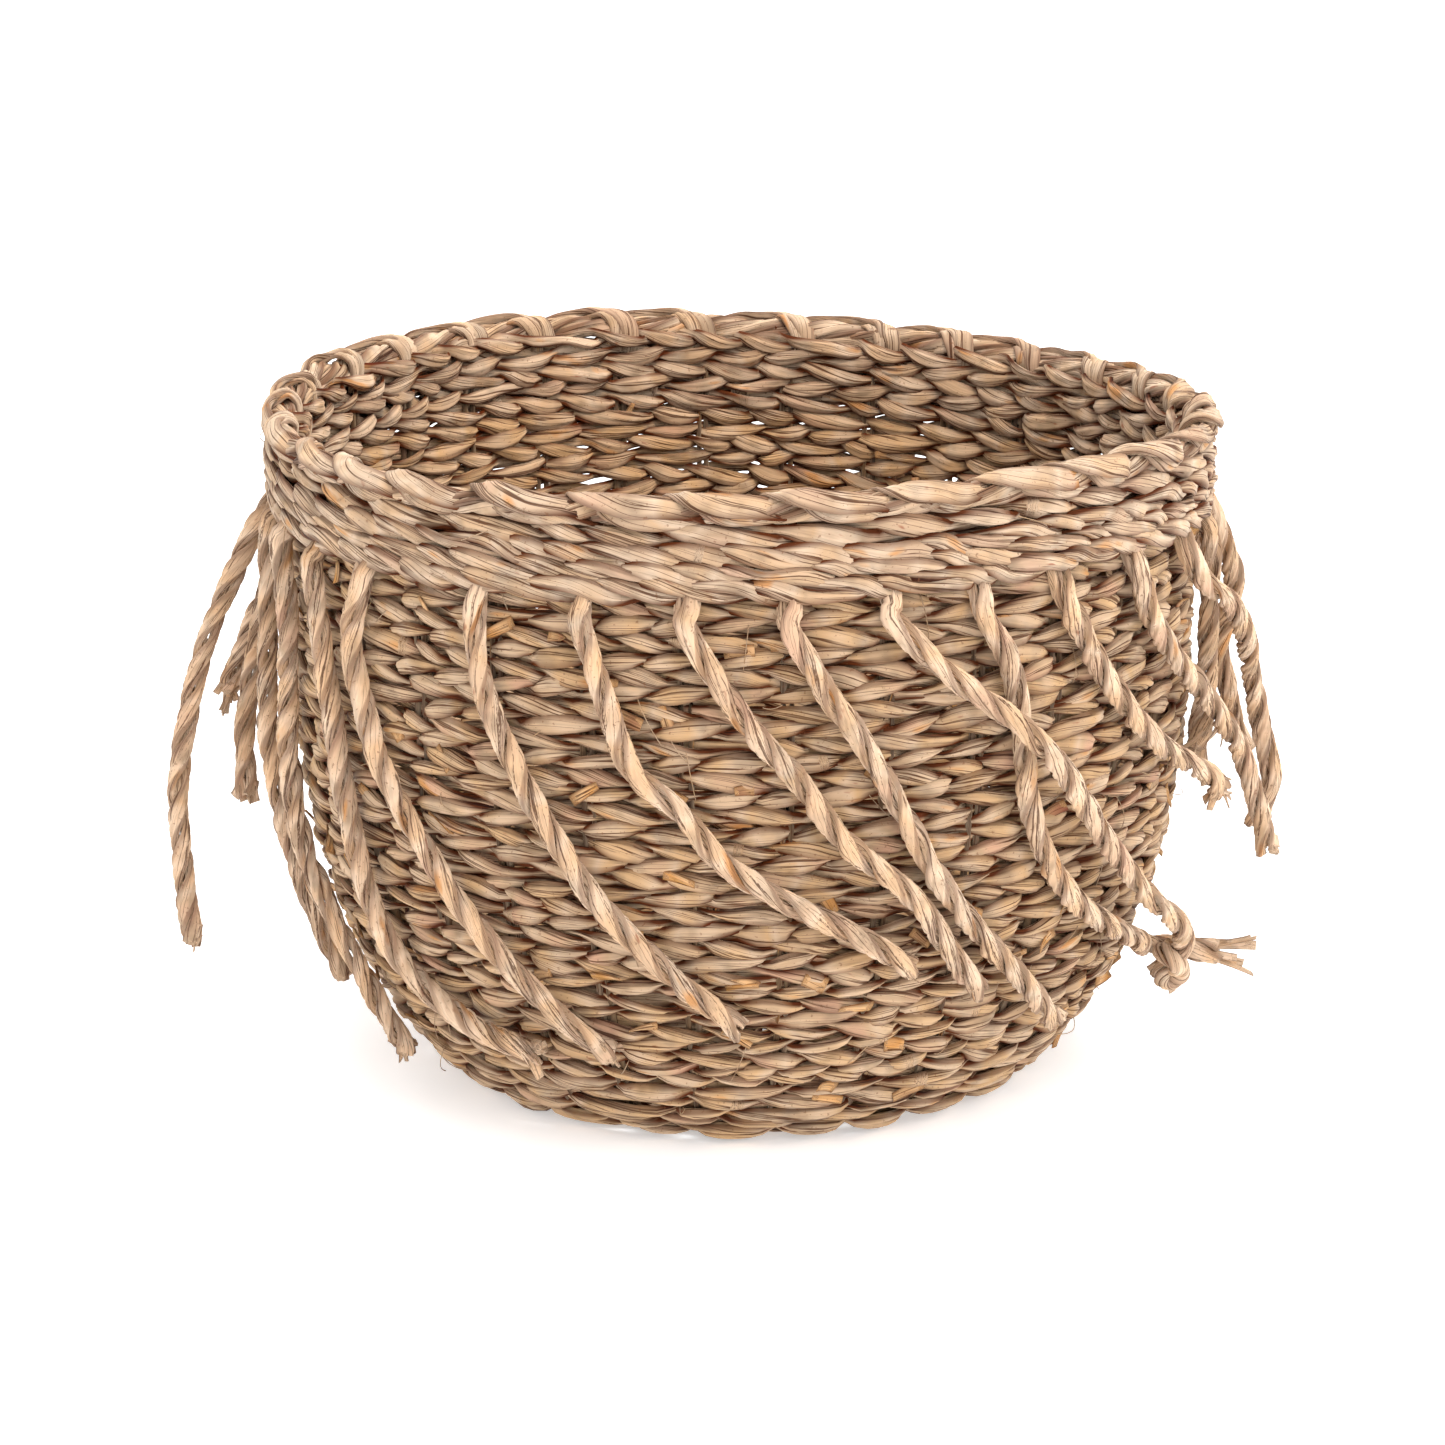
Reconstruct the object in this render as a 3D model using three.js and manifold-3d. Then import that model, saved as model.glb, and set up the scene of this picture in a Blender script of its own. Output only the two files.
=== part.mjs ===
// A round storage basket of twined seagrass with a fringe of twisted cords.
// Millimetres, +Z up, the origin at the centre of the underside.
//
// Pairs of stakes cross under the base, rise through the wall, fold over at the
// rim and come down inside the rim band. Weft courses ring the stakes from the
// foot to the rim, a border caps them, and each pair ends in one fringe cord.

import * as THREE from 'three';
import { mergeVertices } from 'three/addons/utils/BufferGeometryUtils.js';
import Module from 'manifold-3d';

const wasm = await Module();
wasm.setup();

// ---------- driving dimensions ----------
const CLEARANCE = 0.45; // between a stake and the slot it passes through
const GAP = 0.3; // between faces that lie on each other

const FOOT_RADIUS = 92; // outside of the foot, on the ground
const FOOT_ROUNDING = 4; // how far the lowest round tucks in under the foot
const WALL_RADIUS = 143.5; // outside of the upright part of the wall
const WALL_THICK = 8; // two weft strands and the stake between them
const BELLY_HEIGHT = 150; // where the wall has become upright
const BELLY_ROUND = 2.4; // powers of the curve from foot to wall
const FOOT_ROUND = 0.7;

const BASE_SKIN = 2.7; // thickness of each layer of base rounds
const BASE_CENTRE_RADIUS = 40; // where the centre rounds meet the outer rounds

const STAKE_PAIRS = 30;
const STAKE_THICK = 2;
const STAKE_PAIR_WIDTH = 10;

const WALL_COURSES = 5;
const COURSE_GROWTH = 1.25; // courses grow taller towards the rim

const BAND_BOTTOM = 184;
const BAND_HEIGHT = 22;
const BAND_PROUD = 6.5; // how far the band under the rim stands out from the wall
const BAND_COURSES = 2;
const FOLD_PROUD = 2; // where the folded stake ends come down, out from the wall
const FOLD_END_COVER = 2; // length of band below the folded ends
const FOLD_TOP_COVER = 1; // length of band above the folds

const BORDER_HALF_WIDTH = 5.6;
const BORDER_HALF_HEIGHT = 4.4;
const BORDER_SIDES = 8;

const RING_SEGMENTS = 60;
const CORD_RADIUS = 4;
const CORD_SIDES = 8;
const CORD_STEP = 24; // length of one straight step along a cord

// ---------- fringe cords ----------
// Each cord is a list of places from under the band to its tip, chosen by hand:
// [degrees round the basket from its front, height, centre's distance off the wall].
const CORD_ROUTES = [
  [[-6, 183.5, 5], [-6, 176, 5], [-3, 162, 5], [2, 144, 5], [7, 129, 5],
    [12, 111, 5.5], [20, 93, 6], [26, 72, 6], [31, 57, 6.5]],
  [[5.5, 183.5, 5], [5.5, 176, 5], [9, 159, 5], [13, 144, 5], [18, 121, 5],
    [23, 98, 5.5], [30, 76, 6], [38, 56, 7], [47, 37, 8]],
  [[17, 183.5, 5], [17, 177, 5], [23, 161, 6.5], [30, 146, 13], [35, 133, 15],
    [42, 113, 9], [49, 94, 8], [58, 74, 10], [67, 58, 16], [72.5, 46, 18.5], [74, 34, 16]],
  [[28, 183.5, 5], [28, 176, 5], [31, 163, 5], [33, 146, 5], [34, 130, 5],
    [35.5, 112, 5], [39, 95, 5.5], [45, 79, 5.5], [55, 64, 5.5], [67, 51, 5.5],
    [75, 43, 6], [79, 40, 16], [80, 38, 31]],
  [[39.5, 183.5, 5], [39.5, 176, 5], [43, 162, 5], [47, 148, 5], [52, 135, 5.5],
    [58, 122, 7], [66, 111, 9], [72, 103, 12], [76, 95, 14]],
  [[53, 183.5, 5], [53, 176, 5], [55, 165, 5], [61, 149, 5.5], [70, 132, 7],
    [78, 115, 13], [82, 104, 18], [83, 91, 24], [83, 79, 30], [82, 70, 34]],
  [[66, 183.5, 5], [66, 177, 5], [70, 166, 7], [76, 156, 12.5], [81, 143, 16],
    [86, 132, 18], [89, 120, 21], [91, 107, 25], [92, 95, 30], [92.5, 83, 34], [92, 70, 32]],
  [[77, 183.5, 5], [77, 177, 5], [79, 162, 5], [80, 145, 5], [81, 130, 5],
    [80, 115, 5], [78, 106, 5]],
  [[88, 183.5, 5], [88, 177, 5], [91, 165, 10], [94, 152, 15], [96, 140, 15],
    [97, 126, 13], [98, 112, 18], [99, 100, 22]],
  [[99, 183.5, 5], [99, 176, 5], [101, 161, 5], [104, 144, 5], [108, 126, 5],
    [113, 108, 5.5], [118, 92, 6], [123, 78, 6.5]],
  [[110, 183.5, 5], [110, 176, 5], [112, 160, 5], [116, 142, 5], [120, 122, 5],
    [125, 102, 5.5], [131, 82, 6], [139, 64, 6], [147, 50, 6.5]],
  [[121, 183.5, 5], [121, 176, 5], [123, 158, 5], [126, 139, 5], [130, 119, 5],
    [136, 98, 5.5], [143, 78, 6], [151, 60, 6.5], [158, 47, 7]],
  [[133, 183.5, 5], [133, 176, 5], [134, 160, 5], [137, 143, 5], [142, 124, 5],
    [148, 106, 5.5], [154, 90, 6], [160, 76, 6], [165, 64, 6.5]],
  [[145, 183.5, 5], [145, 176, 5], [147, 162, 5], [151, 145, 5], [155, 125, 5],
    [160, 104, 5.5], [166, 84, 6], [172, 66, 6], [178, 50, 6.5], [184, 38, 7]],
  [[157, 183.5, 5], [157, 176, 5], [158, 158, 5], [161, 138, 5], [166, 117, 5],
    [173, 97, 5.5], [181, 78, 6], [190, 61, 6.5], [198, 49, 7]],
  [[169, 183.5, 5], [169, 176, 5], [171, 160, 5], [176, 142, 5], [181, 123, 5],
    [186, 102, 5.5], [192, 83, 6], [199, 66, 6.5], [206, 52, 7]],
  [[180, 183.5, 5], [180, 176, 5], [182, 158, 5], [186, 138, 5], [191, 117, 5],
    [197, 95, 5.5], [204, 74, 6], [212, 57, 6.5], [221, 43, 7]],
  [[192, 183.5, 5], [192, 176, 5], [193, 160, 5], [196, 141, 5], [200, 121, 5],
    [206, 101, 5.5], [212, 84, 6], [218, 70, 6.5]],
  [[204, 183.5, 5], [204, 176, 5], [205, 158, 5], [208, 137, 5], [213, 116, 5],
    [219, 94, 5.5], [226, 73, 6], [234, 55, 6.5], [242, 42, 7]],
  [[216, 183.5, 5], [216, 176, 5], [218, 161, 5], [222, 143, 5], [226, 122, 5],
    [231, 101, 5.5], [238, 80, 6], [246, 62, 6.5], [253, 50, 7]],
  [[229, 183.5, 5], [229, 176, 5], [230, 159, 5], [233, 140, 5], [237, 119, 5],
    [242, 98, 5.5], [249, 79, 6], [256, 63, 6.5]],
  [[-119, 183.5, 5], [-119, 177, 6], [-116, 163, 12], [-112, 146, 20],
    [-109, 125, 29], [-107, 104, 37]],
  [[-107, 183.5, 5], [-107, 177, 6], [-105, 160, 11], [-103, 140, 16],
    [-101, 118, 20], [-99.5, 95, 25], [-98.5, 75, 28]],
  [[-95, 183.5, 5], [-95, 178, 6], [-94.5, 165, 14], [-94, 139, 26], [-93.5, 120, 33],
    [-93, 93, 42], [-92.5, 77, 46], [-92, 56, 51], [-92, 30, 60]],
  [[-83, 183.5, 5], [-83, 176, 5], [-82, 155, 6], [-81, 136, 7], [-81, 110, 9],
    [-81, 85, 9], [-80, 60, 9], [-79, 42, 9], [-78, 30, 9]],
  [[-71, 183.5, 5], [-71, 176, 5], [-69, 155, 5], [-70, 135, 5], [-73, 110, 5.5],
    [-74, 88, 6], [-71, 68, 6], [-64, 48, 6.5], [-62, 30, 7], [-63, 15, 8]],
  [[-60, 183.5, 5], [-60, 176, 5], [-58, 155, 5], [-56, 132, 5], [-54, 105, 5.5],
    [-52, 76, 6], [-48, 55, 6], [-38, 41, 6.5], [-28, 36, 7]],
  [[-49, 183.5, 5], [-49, 176, 5], [-51, 161, 5], [-50, 146, 5], [-46, 121, 5],
    [-40, 101, 5.5], [-33, 77, 6], [-24, 53, 6], [-17, 39, 6.5]],
  [[-31, 183.5, 5], [-31, 176, 5], [-31, 164, 5], [-29.5, 149, 5], [-26.5, 133, 5],
    [-22, 113, 5.5], [-17, 93, 6], [-11, 76, 6], [-5, 62, 6], [0, 51, 6.5]],
  [[-18, 183.5, 5], [-18, 176, 5], [-16.5, 164, 5], [-14.5, 149, 5], [-12, 133, 5],
    [-7, 122, 5], [-2, 106, 5], [3, 97, 5.5], [8, 90, 6], [14, 81, 6], [21, 69, 6.5]],
];

// ---------- sizes that follow ----------
const CAGE_BOTTOM = BASE_SKIN + GAP;
const CAGE_TOP = CAGE_BOTTOM + STAKE_THICK;
const COURSE_START = CAGE_TOP + GAP;
const HALF_STAKE = STAKE_THICK / 2;
const STAKE_STEP = (2 * Math.PI) / STAKE_PAIRS;

const outerRadius = (z) => {
  const below = 1 - Math.min(1, Math.max(0, z) / BELLY_HEIGHT);
  return FOOT_RADIUS + (WALL_RADIUS - FOOT_RADIUS) * (1 - below ** BELLY_ROUND) ** FOOT_ROUND;
};
const middleRadius = (z) => outerRadius(z) - WALL_THICK / 2;
const innerRadius = (z) => outerRadius(z) - WALL_THICK;

const BAND_TOP = BAND_BOTTOM + BAND_HEIGHT;
const BAND_RADIUS = WALL_RADIUS + BAND_PROUD;
const FOLD_RADIUS = WALL_RADIUS + FOLD_PROUD;

// heights where one wall course ends and the next begins
const COURSE_HEIGHTS = Array.from({ length: WALL_COURSES + 1 }, (_, k) => (
  COURSE_START + (BAND_BOTTOM - COURSE_START) * (k / WALL_COURSES) ** COURSE_GROWTH
));

// ---------- materials ----------
const seagrass = (colour) => new THREE.MeshStandardMaterial({
  color: colour, roughness: 0.75, metalness: 0,
});
const WEFT_COLOUR = 0xb89f7e;
const BAND_COLOUR = 0xc4ab8b;
const BORDER_COLOUR = 0xcbb393;
const STAKE_COLOUR = 0x9c8464;
const CORD_COLOUR = 0xb59b78;

const basket = new THREE.Group();
const addPiece = (name, geometry, colour) => {
  const mesh = new THREE.Mesh(geometry, seagrass(colour));
  mesh.name = name;
  basket.add(mesh);
};

// ---------- helpers ----------
const toSolid = (geometry) => {
  const bare = geometry.clone();
  bare.deleteAttribute('normal');
  bare.deleteAttribute('uv');
  const merged = mergeVertices(bare, 1e-4);
  return new wasm.Manifold(new wasm.Mesh({
    numProp: 3,
    vertProperties: new Float32Array(merged.attributes.position.array),
    triVerts: new Uint32Array(merged.index.array),
  }));
};

const toGeometry = (solid) => {
  const mesh = solid.getMesh();
  const geometry = new THREE.BufferGeometry();
  geometry.setAttribute('position', new THREE.BufferAttribute(mesh.vertProperties, 3));
  geometry.setIndex(new THREE.BufferAttribute(mesh.triVerts, 1));
  geometry.computeVertexNormals();
  return geometry;
};

// a closed outline of [radius, height] pairs turned round the upright axis
const turned = (outline) => {
  const points = outline.map(([r, z]) => new THREE.Vector2(r, z));
  const geometry = new THREE.LatheGeometry(points, RING_SEGMENTS);
  geometry.rotateX(Math.PI / 2);
  return geometry;
};

const roundPath = (path, radius) => {
  for (let i = 0; i < RING_SEGMENTS; i += 1) {
    const angle = (2 * Math.PI * i) / RING_SEGMENTS;
    const place = [radius * Math.cos(angle), radius * Math.sin(angle)];
    if (i === 0) path.moveTo(...place);
    else path.lineTo(...place);
  }
  path.closePath();
  return path;
};

// the four corners of the slot round one stake pair, seen from above
const slotPath = (angle, nearRadius, farRadius) => {
  const half = STAKE_PAIR_WIDTH / 2 + CLEARANCE;
  const corners = [[nearRadius, -half], [farRadius, -half], [farRadius, half], [nearRadius, half]];
  const path = new THREE.Path();
  corners.forEach(([out, side], i) => {
    const x = out * Math.cos(angle) - side * Math.sin(angle);
    const y = out * Math.sin(angle) + side * Math.cos(angle);
    if (i === 0) path.moveTo(x, y);
    else path.lineTo(x, y);
  });
  path.closePath();
  return path;
};

// a weft course: a ring with one slot for each stake pair, whose top is wider by `flare`
const slottedRing = ({ bottom, top, inner, outer, slotNear, slotFar, flare }) => {
  const ring = roundPath(new THREE.Shape(), outer);
  ring.holes.push(roundPath(new THREE.Path(), inner));
  for (let k = 0; k < STAKE_PAIRS; k += 1) {
    ring.holes.push(slotPath(k * STAKE_STEP, slotNear, slotFar));
  }
  const geometry = new THREE.ExtrudeGeometry(ring, {
    depth: top - bottom, steps: 1, bevelEnabled: false,
  });
  const position = geometry.attributes.position;
  for (let i = 0; i < position.count; i += 1) {
    const x = position.getX(i);
    const y = position.getY(i);
    const z = position.getZ(i);
    const radius = Math.hypot(x, y);
    const around = Math.atan2(y, x);
    const inSlot = radius > inner + CLEARANCE && radius < outer - CLEARANCE;
    const direction = inSlot ? Math.round(around / STAKE_STEP) * STAKE_STEP : around;
    const shift = z > 0 ? flare : 0;
    const moved = [x + shift * Math.cos(direction), y + shift * Math.sin(direction), z + bottom];
    position.setXYZ(i, ...moved);
  }
  geometry.computeVertexNormals();
  return geometry;
};

// ---------- base ----------
const addBase = () => {
  const edge = BASE_CENTRE_RADIUS + GAP;
  addPiece('base_under_centre', turned([
    [0, 0], [BASE_CENTRE_RADIUS, 0], [BASE_CENTRE_RADIUS, BASE_SKIN], [0, BASE_SKIN],
  ]), WEFT_COLOUR);
  addPiece('base_under_rounds', turned([
    [edge, 0], [FOOT_RADIUS - FOOT_ROUNDING, 0], [FOOT_RADIUS, BASE_SKIN / 2],
    [FOOT_RADIUS, BASE_SKIN], [edge, BASE_SKIN], [edge, 0],
  ]), WEFT_COLOUR);
  const bottom = CAGE_TOP + GAP;
  const top = bottom + BASE_SKIN;
  const rim = innerRadius(COURSE_START) - CLEARANCE;
  addPiece('base_inside_centre', turned([
    [0, bottom], [BASE_CENTRE_RADIUS, bottom], [BASE_CENTRE_RADIUS, top], [0, top],
  ]), WEFT_COLOUR);
  addPiece('base_inside_rounds', turned([
    [edge, bottom], [rim, bottom], [rim, top], [edge, top], [edge, bottom],
  ]), WEFT_COLOUR);
};

// ---------- stakes ----------
// one stake pair seen from the side: up the wall, over the fold and down again
const stakeOutline = () => {
  const foldRadius = (FOLD_RADIUS - middleRadius(BAND_BOTTOM)) / 2;
  const foldCentre = middleRadius(BAND_BOTTOM) + foldRadius;
  const foldHeight = BAND_TOP - FOLD_TOP_COVER - HALF_STAKE - foldRadius;
  const shape = new THREE.Shape();
  const rise = [CAGE_BOTTOM, ...COURSE_HEIGHTS];
  const riseRadius = (z) => middleRadius(Math.max(z, COURSE_START));
  shape.moveTo(riseRadius(CAGE_BOTTOM) - HALF_STAKE, CAGE_BOTTOM);
  rise.forEach((z) => shape.lineTo(riseRadius(z) + HALF_STAKE, z));
  shape.lineTo(foldCentre - foldRadius + HALF_STAKE, foldHeight);
  shape.absarc(foldCentre, foldHeight, foldRadius - HALF_STAKE, Math.PI, 0, true);
  shape.lineTo(FOLD_RADIUS - HALF_STAKE, BAND_BOTTOM + FOLD_END_COVER);
  shape.lineTo(FOLD_RADIUS + HALF_STAKE, BAND_BOTTOM + FOLD_END_COVER);
  shape.absarc(foldCentre, foldHeight, foldRadius + HALF_STAKE, 0, Math.PI, false);
  [...rise].reverse().forEach((z) => shape.lineTo(riseRadius(z) - HALF_STAKE, z));
  return shape;
};

const addStakes = () => {
  const hubRadius = middleRadius(COURSE_START) + HALF_STAKE;
  let cage = toSolid(turned([
    [0, CAGE_BOTTOM], [hubRadius, CAGE_BOTTOM], [hubRadius, CAGE_TOP], [0, CAGE_TOP],
  ]));
  const pair = new THREE.ExtrudeGeometry(stakeOutline(), {
    depth: STAKE_PAIR_WIDTH, steps: 1, bevelEnabled: false, curveSegments: 4,
  });
  pair.translate(0, 0, -STAKE_PAIR_WIDTH / 2);
  pair.rotateX(Math.PI / 2);
  for (let k = 0; k < STAKE_PAIRS; k += 1) {
    const placed = pair.clone().rotateZ(k * STAKE_STEP);
    cage = cage.add(toSolid(placed));
  }
  addPiece('stake_cage', toGeometry(cage), STAKE_COLOUR);
};

// ---------- wall and rim ----------
const addWall = () => {
  for (let k = 0; k < WALL_COURSES; k += 1) {
    const bottom = COURSE_HEIGHTS[k];
    const middle = middleRadius(bottom);
    addPiece(`wall_course_${k + 1}`, slottedRing({
      bottom,
      top: COURSE_HEIGHTS[k + 1] - GAP,
      inner: innerRadius(bottom),
      outer: outerRadius(bottom),
      slotNear: middle - HALF_STAKE - CLEARANCE,
      slotFar: middle + HALF_STAKE + CLEARANCE,
      flare: middleRadius(COURSE_HEIGHTS[k + 1]) - middle,
    }), WEFT_COLOUR);
  }
};

const addBand = () => {
  const height = (BAND_TOP - BAND_BOTTOM) / BAND_COURSES;
  for (let k = 0; k < BAND_COURSES; k += 1) {
    const bottom = BAND_BOTTOM + k * height;
    addPiece(`rim_band_${k + 1}`, slottedRing({
      bottom,
      top: bottom + height - GAP,
      inner: innerRadius(BAND_BOTTOM),
      outer: BAND_RADIUS,
      slotNear: middleRadius(BAND_BOTTOM) - HALF_STAKE - CLEARANCE,
      slotFar: FOLD_RADIUS + HALF_STAKE + CLEARANCE,
      flare: 0,
    }), BAND_COLOUR);
  }
};

const addBorder = () => {
  const centre = BAND_RADIUS - BORDER_HALF_WIDTH;
  const height = BAND_TOP + BORDER_HALF_HEIGHT;
  const outline = Array.from({ length: BORDER_SIDES + 1 }, (_, i) => {
    const angle = (2 * Math.PI * (i % BORDER_SIDES)) / BORDER_SIDES;
    return [
      centre + BORDER_HALF_WIDTH * Math.cos(angle),
      height + BORDER_HALF_HEIGHT * Math.sin(angle),
    ];
  });
  addPiece('rim_border', turned(outline), BORDER_COLOUR);
};

// ---------- fringe ----------
const cordPlace = ([degrees, height, off]) => {
  const around = THREE.MathUtils.degToRad(degrees);
  const radius = outerRadius(height) + off;
  return new THREE.Vector3(radius * Math.sin(around), -radius * Math.cos(around), height);
};

const addFringe = () => {
  const section = new THREE.Shape();
  for (let i = 0; i < CORD_SIDES; i += 1) {
    const angle = (2 * Math.PI * i) / CORD_SIDES;
    const corner = [CORD_RADIUS * Math.cos(angle), CORD_RADIUS * Math.sin(angle)];
    if (i === 0) section.moveTo(...corner);
    else section.lineTo(...corner);
  }
  section.closePath();
  CORD_ROUTES.forEach((route, k) => {
    const path = new THREE.CatmullRomCurve3(route.map(cordPlace), false, 'catmullrom', 0.5);
    const steps = Math.round(path.getLength() / CORD_STEP);
    const geometry = new THREE.ExtrudeGeometry(section, { steps, extrudePath: path });
    addPiece(`fringe_cord_${String(k + 1).padStart(2, '0')}`, geometry, CORD_COLOUR);
  });
};

addBase();
addStakes();
addWall();
addBand();
addBorder();
addFringe();

export default basket;
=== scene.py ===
# %% [markdown]
# # Seagrass storage basket with a fringe
#
# A round basket of twined seagrass. Thirty pairs of stakes run out under the base,
# rise through the wall and fold over at the rim. Rows of weft, each of two strands
# that twist round one another, hold them. Four closer rows make the band under the
# rim, a border of folded stakes closes it, and one two-ply cord hangs from each pair.
#
# Everything is in metres in the frame of the CAD model: +Z is up, -Y is the front.

# %%
import math

import bmesh
import bpy
import numpy as np
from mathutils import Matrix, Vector


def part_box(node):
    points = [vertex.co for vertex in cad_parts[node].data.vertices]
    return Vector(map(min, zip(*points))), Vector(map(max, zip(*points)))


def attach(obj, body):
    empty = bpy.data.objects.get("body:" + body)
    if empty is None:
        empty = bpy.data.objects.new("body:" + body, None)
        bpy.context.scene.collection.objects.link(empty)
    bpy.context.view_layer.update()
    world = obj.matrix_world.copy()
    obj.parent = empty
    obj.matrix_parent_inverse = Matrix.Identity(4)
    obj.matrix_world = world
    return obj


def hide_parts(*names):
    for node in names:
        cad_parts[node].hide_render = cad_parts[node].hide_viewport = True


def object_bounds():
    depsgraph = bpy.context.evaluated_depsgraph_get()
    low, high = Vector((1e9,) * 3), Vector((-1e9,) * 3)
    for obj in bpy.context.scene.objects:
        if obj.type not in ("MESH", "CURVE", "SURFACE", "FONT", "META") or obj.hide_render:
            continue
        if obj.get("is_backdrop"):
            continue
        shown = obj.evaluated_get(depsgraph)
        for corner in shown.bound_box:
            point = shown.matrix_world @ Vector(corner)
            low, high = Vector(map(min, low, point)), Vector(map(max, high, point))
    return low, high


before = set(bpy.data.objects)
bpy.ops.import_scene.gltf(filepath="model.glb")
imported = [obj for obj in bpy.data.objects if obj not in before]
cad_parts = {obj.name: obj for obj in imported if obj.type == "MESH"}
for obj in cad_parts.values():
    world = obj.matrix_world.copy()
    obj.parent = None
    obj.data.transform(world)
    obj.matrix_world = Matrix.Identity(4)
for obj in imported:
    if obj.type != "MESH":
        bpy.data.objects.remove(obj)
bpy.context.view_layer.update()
MM = 0.001

# %% [markdown]
# ## Camera
#
# A long lens stands about 1.3 m off and looks down a little, so that the mouth of
# the basket shows as a flat ellipse above the rim.

# %%
CAMERA_AIM = Vector((0, 0, 0.1065))
CAMERA_DISTANCE = 1.35
CAMERA_TILT = math.radians(15.9)

camera_data = bpy.data.cameras.new("camera")
camera = bpy.data.objects.new("camera", camera_data)
bpy.context.collection.objects.link(camera)
bpy.context.scene.camera = camera
back = Vector((0, -math.cos(CAMERA_TILT), math.sin(CAMERA_TILT)))
camera.location = CAMERA_AIM + CAMERA_DISTANCE * back
camera.rotation_euler = (-back).to_track_quat("-Z", "Y").to_euler()
camera_data.sensor_width = 36
camera_data.lens = 104.7
camera_data.shift_x = -0.0128
camera_data.clip_start, camera_data.clip_end = 0.05, 60
print("camera at", [round(x, 3) for x in camera.location])

# %% [markdown]
# ## Sizes read from the CAD model
#
# The weave follows the same surfaces as the plain solids it stands for, so its sizes
# come from their boxes. Only the powers of the wall's curve are stated again.

# %%
def box_mm(node):
    """The lowest and highest corner of a CAD node, in millimetres."""
    low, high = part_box(node)
    return [1000 * x for x in low], [1000 * x for x in high]


COURSES = [f"wall_course_{k}" for k in range(1, 6)]
WALL_RADIUS = box_mm("wall_course_5")[1][0]
FOOT_RADIUS = box_mm("base_under_rounds")[1][0]
CENTRE_RADIUS = box_mm("base_under_centre")[1][0]
BASE_TOP = box_mm("base_inside_rounds")[1][2]
BAND_RADIUS = box_mm("rim_band_1")[1][0]
BAND_BOTTOM = box_mm("rim_band_1")[0][2]
BORDER_BOTTOM, BORDER_TOP = box_mm("rim_border")[0][2], box_mm("rim_border")[1][2]
COURSE_TOPS = [box_mm(name)[1][2] for name in COURSES]
BELLY_HEIGHT, BELLY_ROUND, FOOT_ROUND = 150.0, 2.4, 0.7
WALL_THICK = 8.0
STAKE_PAIRS = 30


def outer_radius(z):
    """Outside of the wall at a height, in millimetres."""
    below = 1 - np.clip(np.asarray(z, float) / BELLY_HEIGHT, 0, 1)
    return FOOT_RADIUS + (WALL_RADIUS - FOOT_RADIUS) * (1 - below**BELLY_ROUND) ** FOOT_ROUND


def rim_sway(angle, height):
    """How far hand weaving lets a row wander from level, in millimetres."""
    share = np.clip(np.asarray(height, float) / BORDER_TOP, 0, 1) ** 2
    wave = -1 + 2.6 * np.cos(2 * (angle - 0.7)) + 1.2 * np.cos(angle + 1.05)
    return share * wave


print(f"foot {FOOT_RADIUS:.1f}, wall {WALL_RADIUS:.1f}, band {BAND_RADIUS:.1f}, "
      f"border {BORDER_BOTTOM:.1f} to {BORDER_TOP:.1f} mm")

# %% [markdown]
# ## Laying a strand
#
# A strand of seagrass is a folded leaf: a flattened, lumpy bundle with a crease or
# two along it. Each one is a curve with such a section carried along it, because a
# curve keeps the section square to its run and closes its ends. The points of the
# curve come from the formula of the twist. The curve is then made a mesh, and every
# vertex gets two attributes. "grain" is its place round the section and its way along
# the strand, from which materials draw the streaks of the leaf. The other is painted
# shade: how near the vertex is to the sides of the strand, or to a place where the
# strand tucks under another, where materials darken the colour as if shade fell there.

# %%
def section(name, half_width, half_thick, creases, points=20, wobble=0.06):
    """A closed outline for a strand, in metres: an ellipse with creases pressed in."""
    data = bpy.data.curves.new(name, "CURVE")
    data.dimensions = "2D"
    spline = data.splines.new("POLY")
    spline.points.add(points - 1)
    for i in range(points):
        angle = 2 * math.pi * i / points
        size = 1 + wobble * math.sin(3 * angle + 0.7) - sum(
            depth * math.exp(-(math.remainder(angle - at, 2 * math.pi) / wide) ** 2)
            for at, depth, wide in creases)
        x, y = half_thick * size * math.cos(angle), half_width * size * math.sin(angle)
        spline.points[i].co = (x * MM, y * MM, 0, 1)
    spline.use_cyclic_u = True
    outline = bpy.data.objects.new(name, data)
    outline["points"] = points
    return outline


def smooth_noise(rng, count, knots, size, closed):
    """Gentle random drift along a strand: a few seeded values, eased between."""
    values = rng.normal(0, size, knots)
    if closed:
        values = np.append(values, values[0])
    where = np.linspace(0, len(values) - 1, count, endpoint=not closed)
    low = np.minimum(where.astype(int), len(values) - 2)
    part = where - low
    part = part * part * (3 - 2 * part)
    return values[low] * (1 - part) + values[low + 1] * part


def tilt_towards(points, face, closed):
    """The turn at each point that points the thin side of the section at `face`."""
    steps = np.diff(np.vstack([points, points[:1]]) if closed else points, axis=0)
    steps /= np.linalg.norm(steps, axis=1)[:, None]
    way = steps + np.roll(steps, 1, axis=0) if closed else np.vstack(
        [steps[:1], steps[1:] + steps[:-1], steps[-1:]])
    way /= np.linalg.norm(way, axis=1)[:, None]
    level = np.column_stack([way[:, 1], -way[:, 0], np.zeros(len(way))])
    level /= np.linalg.norm(level, axis=1)[:, None] + 1e-9
    return np.arctan2((face * np.cross(way, level)).sum(1), (face * level).sum(1))


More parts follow.
